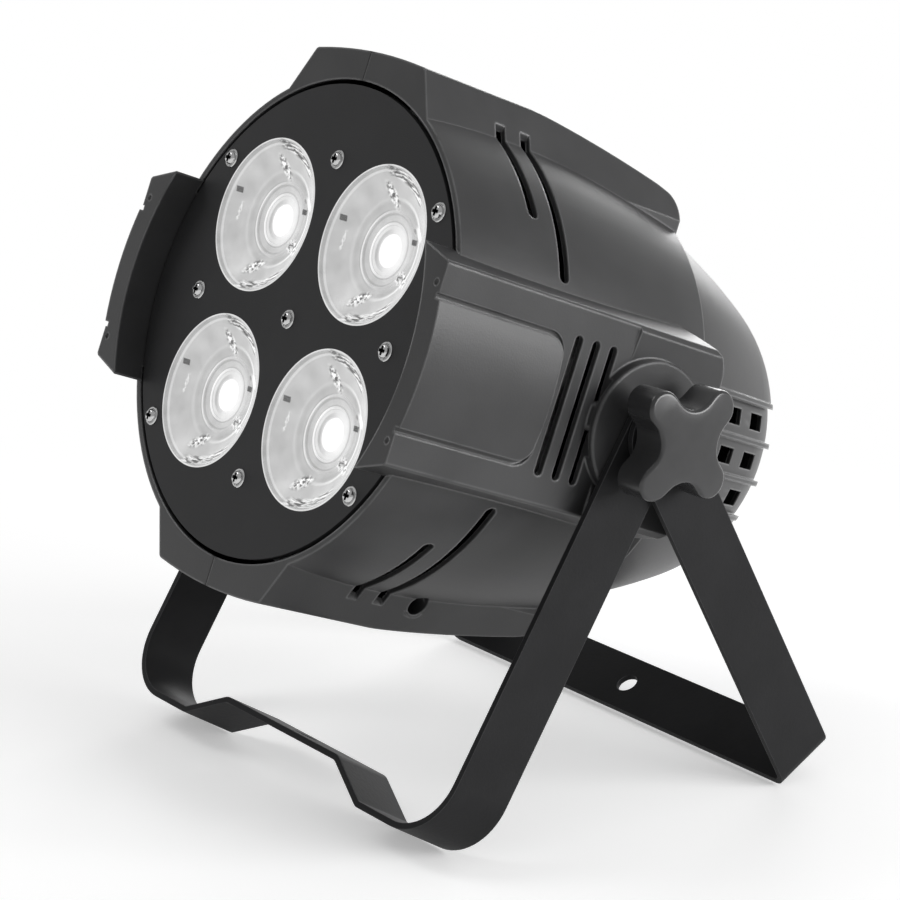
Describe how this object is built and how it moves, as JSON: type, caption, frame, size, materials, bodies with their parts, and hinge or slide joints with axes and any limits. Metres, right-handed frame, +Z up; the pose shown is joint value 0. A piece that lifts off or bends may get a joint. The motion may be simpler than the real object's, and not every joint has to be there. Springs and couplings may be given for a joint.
{
  "type": "par can light",
  "caption": "LED stage par can: lensed round head with moulded shell and vented rear cover, tilting on two crossed U brackets that stand it on a floor or hang it from a clamp",
  "frame": {"origin": "Centre of the footprint of the whole part, on the surface it stands on.", "axes": "+Z up, the lamp faces -Y, X is the tilt axis with +X on the right of someone looking along +Y at the lenses."},
  "size_m": [0.263, 0.2588, 0.2947],
  "materials": {
    "shell": "satin black moulded plastic with a fine grain",
    "panel": "matt black painted steel",
    "plate": "matt black painted aluminium",
    "screw_chrome": "bright plated cross-head screw",
    "screw_black": "black oxide screw",
    "steel": "zinc plated steel",
    "lens": "clear moulded optical plastic",
    "lens_holder": "light grey moulded plastic",
    "led": "white module, lit",
    "heatsink": "extruded aluminium, bare",
    "fan": "black moulded plastic",
    "circuit_board": "green circuit board",
    "display": "dark tinted window",
    "button": "black moulded plastic",
    "socket_black": "black moulded plastic",
    "socket_blue": "blue moulded plastic",
    "socket_grey": "light grey moulded plastic",
    "brass": "turned brass",
    "washer": "black fibre friction washer",
    "knob": "satin black moulded plastic",
    "bracket": "black powder-coated steel strip"
  },
  "bodies": {
    "head": {"housing_right": "shell", "housing_left": "shell", "rear_cover": "shell", "rear_panel": "panel", "front_plate": "plate", "plate_screws": "screw_chrome", "shell_screws": "screw_black", "panel_screws": "screw_black", "socket_screws": "screw_black", "eye_screws": "screw_black", "plate_standoffs": "steel", "lens_1": "lens", "lens_2": "lens", "lens_3": "lens", "lens_4": "lens", "lens_holder_1": "lens_holder", "lens_holder_2": "lens_holder", "lens_holder_3": "lens_holder", "lens_holder_4": "lens_holder", "led_module_1": "led", "led_module_2": "led", "led_module_3": "led", "led_module_4": "led", "heatsink": "heatsink", "fan_frame": "fan", "driver_tray": "steel", "driver_board": "circuit_board", "control_board": "circuit_board", "display_window": "display", "data_in_socket": "socket_black", "data_out_socket": "socket_black", "mains_in_socket": "socket_blue", "mains_out_socket": "socket_grey", "safety_eye": "steel", "pivot_insert_left": "brass", "pivot_insert_right": "brass", "boss_washers": "washer"},
    "front_bracket": {"front_bracket": "bracket", "arm_washers": "washer"},
    "rear_bracket": {"rear_bracket": "bracket"},
    "knob_right": {"knob_right": "knob", "knob_bolt_right": "steel", "knob_washer_right": "steel"},
    "knob_left": {"knob_left": "knob", "knob_bolt_left": "steel", "knob_washer_left": "steel"},
    "fan": {"fan_rotor": "fan"},
    "button_menu": {"button_menu": "button"},
    "button_down": {"button_down": "button"},
    "button_up": {"button_up": "button"},
    "button_enter": {"button_enter": "button"}
  },
  "joints": [
    {"name": "front_bracket_swing", "type": "hinge", "parent": "head", "child": "front_bracket", "pos_m": [0, 0.00156, 0.15878], "axis": [1, 0, 0], "range_deg": [-94, 16]},
    {"name": "rear_bracket_swing", "type": "hinge", "parent": "head", "child": "rear_bracket", "pos_m": [0, 0.00156, 0.15878], "axis": [1, 0, 0], "range_deg": [-30, 59]},
    {"name": "knob_right_turn", "type": "hinge", "parent": "head", "child": "knob_right", "pos_m": [0, 0.00156, 0.15878], "axis": [1, 0, 0], "continuous": true},
    {"name": "knob_left_turn", "type": "hinge", "parent": "head", "child": "knob_left", "pos_m": [0, 0.00156, 0.15878], "axis": [1, 0, 0], "continuous": true},
    {"name": "fan_spin", "type": "hinge", "parent": "head", "child": "fan", "pos_m": [0, -0.00595, 0.16152], "axis": [0, 0.9397, -0.342], "continuous": true},
    {"name": "button_menu_press", "type": "slide", "parent": "head", "child": "button_menu", "axis": [0, 0.9397, -0.342], "range_m": [-0.001, 0], "stiffness_N_per_m": 400, "springref_m": 0.0005},
    {"name": "button_down_press", "type": "slide", "parent": "head", "child": "button_down", "axis": [0, 0.9397, -0.342], "range_m": [-0.001, 0], "stiffness_N_per_m": 400, "springref_m": 0.0005},
    {"name": "button_up_press", "type": "slide", "parent": "head", "child": "button_up", "axis": [0, 0.9397, -0.342], "range_m": [-0.001, 0], "stiffness_N_per_m": 400, "springref_m": 0.0005},
    {"name": "button_enter_press", "type": "slide", "parent": "head", "child": "button_enter", "axis": [0, 0.9397, -0.342], "range_m": [-0.001, 0], "stiffness_N_per_m": 400, "springref_m": 0.0005}
  ]
}
